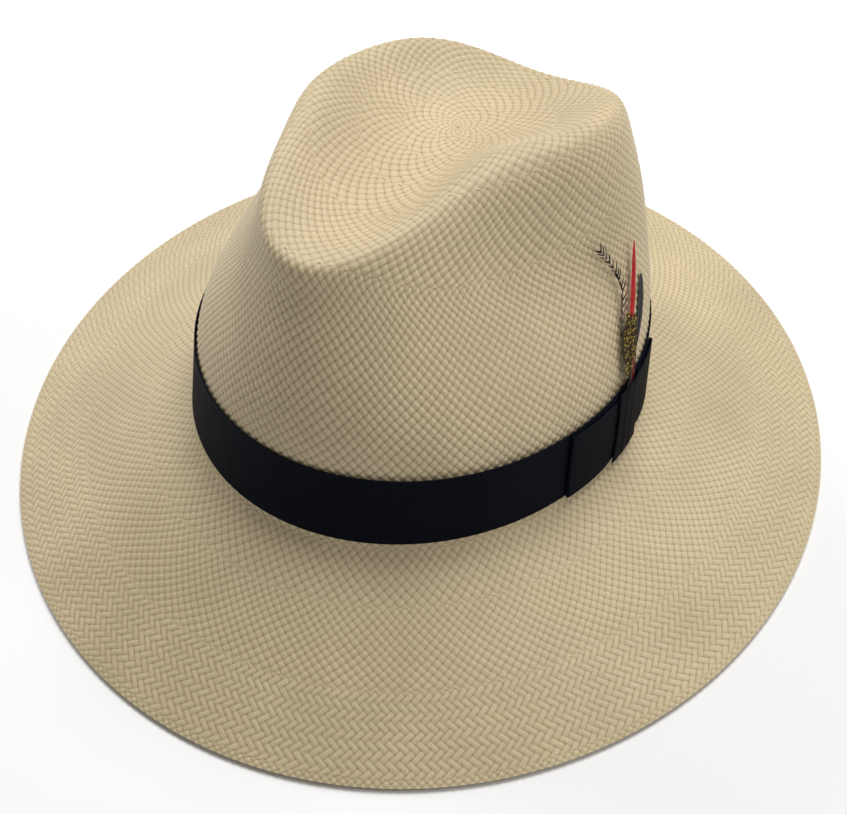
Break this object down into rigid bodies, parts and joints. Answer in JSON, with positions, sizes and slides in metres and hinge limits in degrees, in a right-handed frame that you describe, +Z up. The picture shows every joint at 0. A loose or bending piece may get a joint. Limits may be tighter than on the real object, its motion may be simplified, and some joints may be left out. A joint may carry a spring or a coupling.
{
  "type": "straw sun hat",
  "caption": "Woven straw sun hat with a pinched crown, wide down-turned brim, dark ribbon band with a side bow, and a small spray of feathers that lifts out.",
  "frame": {"origin": "centre of the hat's outline in the plane that the rim lies in", "axes": "+Z up, away from the wearer's shoulders; front of the hat toward -Y, wearer's left (bow and feathers) toward +X"},
  "size_m": [0.326, 0.3432, 0.152],
  "materials": {
    "straw": "woven palm straw, matt with a slight sheen",
    "ribbon": "ribbed grosgrain, satin",
    "feather_red": "matt",
    "feather_dark": "satin",
    "feather_brown": "flecked, matt",
    "feather_pale": "matt",
    "thread": "matt",
    "sweatband": "matt",
    "reed": "matt",
    "inner_ribbon": "satin"
  },
  "bodies": {
    "hat": {"straw_body": "straw", "hat_band": "ribbon", "bow_front_loop": "ribbon", "bow_rear_loop": "ribbon", "bow_knot": "ribbon", "sweatband": "sweatband", "sweatband_reed": "reed", "sweatband_bow": "inner_ribbon", "sweatband_stitches": "thread"},
    "feather_spray": {"feather_red": "feather_red", "feather_black": "feather_dark", "feather_mottled": "feather_brown", "feather_curl": "feather_pale", "feather_binding": "thread"}
  },
  "joints": [
    {"name": "feather_pull", "type": "slide", "parent": "hat", "child": "feather_spray", "axis": [-0.07, 0.5312, 0.8444], "range_m": [0, 0.07]}
  ]
}
